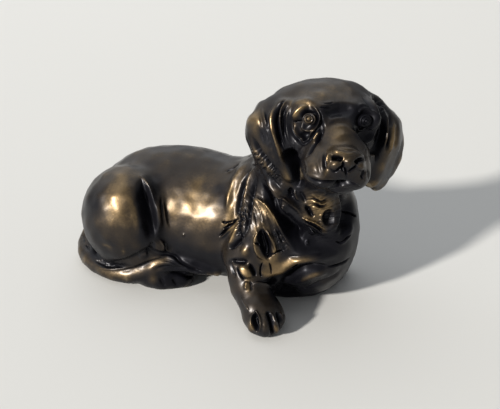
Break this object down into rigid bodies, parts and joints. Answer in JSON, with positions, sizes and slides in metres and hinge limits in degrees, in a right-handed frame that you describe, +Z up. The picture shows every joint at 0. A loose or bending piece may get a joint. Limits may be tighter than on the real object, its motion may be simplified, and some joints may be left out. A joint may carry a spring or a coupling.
{
  "type": "dachshund figure",
  "caption": "Small cast bronze figure of a dachshund lying down, head turned over its shoulder, dark patina rubbed to gold on the high parts, flat underside.",
  "frame": {"origin": "on the flat underside, below the belly", "axes": "+X along the resting body from rump to chest, +Y to the dog's left, +Z up; the dog's right side and its face look towards -Y"},
  "size_m": [0.1521, 0.0856, 0.1051],
  "materials": {
    "patinated_bronze": "dark brown-black patina, waxed, rubbed to golden bronze on raised parts"
  },
  "bodies": {
    "root": {"dachshund_figure": "patinated_bronze"}
  },
  "joints": []
}
